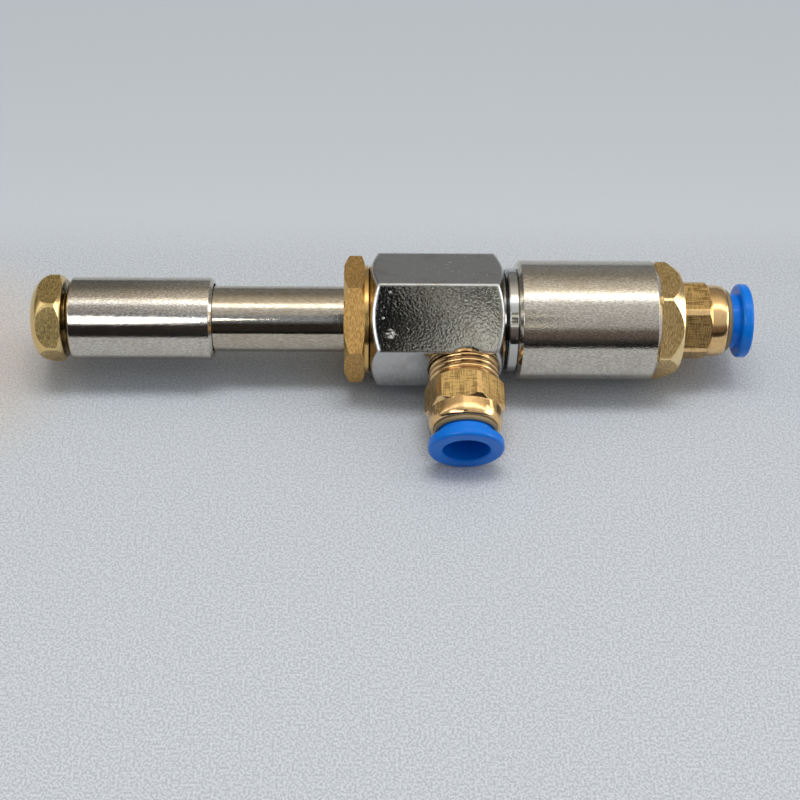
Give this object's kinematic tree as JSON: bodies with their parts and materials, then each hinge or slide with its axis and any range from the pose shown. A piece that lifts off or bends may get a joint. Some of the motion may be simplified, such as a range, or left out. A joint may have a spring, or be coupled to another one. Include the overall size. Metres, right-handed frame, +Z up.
{
  "type": "vortex tube",
  "caption": "Vortex tube with a side air inlet, a hot tube closed by a screwed conical valve, a muffled cold outlet and push-in tube fittings.",
  "frame": {"origin": "where the axis of the side inlet crosses the tube axis, inside the hexagonal body", "axes": "+X along the tube axis towards the cold outlet, +Z up with the part lying as it rests on a table, the side inlet along -Y and leaning down by 11.6 degrees"},
  "size_m": [0.13, 0.039, 0.0238],
  "materials": {
    "chrome": "polished chrome plate over brass, slightly uneven on the wide flats",
    "nickel": "satin, fine turned",
    "steel_tube": "drawn, lightly scratched",
    "spring_steel": "bright",
    "brass": "turned and milled, bright chamfers",
    "fitting_brass": "milled flats, polished shoulder",
    "blue_plastic": "moulded, glossy",
    "guide_plastic": "moulded, satin",
    "generator_plastic": "turned acetal",
    "black_rubber": "moulded",
    "felt": "pressed wool felt"
  },
  "bodies": {
    "housing": {"body": "chrome", "hot_tube": "steel_tube", "hot_tube_seal": "black_rubber", "vortex_generator": "generator_plastic", "generator_seal": "black_rubber", "gland_nut": "brass", "hot_sleeve": "nickel", "hot_felt": "felt", "cold_sleeve": "nickel", "perforated_tube": "brass", "cold_felt": "felt", "cold_bush": "brass", "inlet_fitting_body": "fitting_brass", "inlet_tube_seal": "black_rubber", "inlet_grip_ring": "spring_steel", "inlet_guide_ring": "guide_plastic", "outlet_fitting_body": "fitting_brass", "outlet_tube_seal": "black_rubber", "outlet_grip_ring": "spring_steel", "outlet_guide_ring": "guide_plastic"},
    "valve_seal": {"regulator_seal": "black_rubber"},
    "valve_plug": {"regulating_plug": "brass"},
    "inlet_release": {"inlet_release_ring": "blue_plastic"},
    "outlet_release": {"outlet_release_ring": "blue_plastic"}
  },
  "joints": [
    {"name": "valve_travel", "type": "slide", "parent": "housing", "child": "valve_seal", "axis": [1, 0, 0], "range_m": [-0.004, 0.00075]},
    {"name": "valve_turn", "type": "hinge", "parent": "valve_seal", "child": "valve_plug", "pos_m": [-0.0675, 0, 0], "axis": [1, 0, 0], "range_deg": [-1441, 271]},
    {"name": "inlet_release_push", "type": "slide", "parent": "housing", "child": "inlet_release", "axis": [0, 0.9797, 0.2006], "range_m": [0, 0.0014], "stiffness_N_per_m": 500, "springref_m": -0.002},
    {"name": "outlet_release_push", "type": "slide", "parent": "housing", "child": "outlet_release", "axis": [-1, 0, 0], "range_m": [0, 0.0014], "stiffness_N_per_m": 500, "springref_m": -0.002}
  ],
  "couplings": [
    {"joint": "valve_turn", "follows": "valve_travel", "rad_per_m": 6283.2}
  ]
}
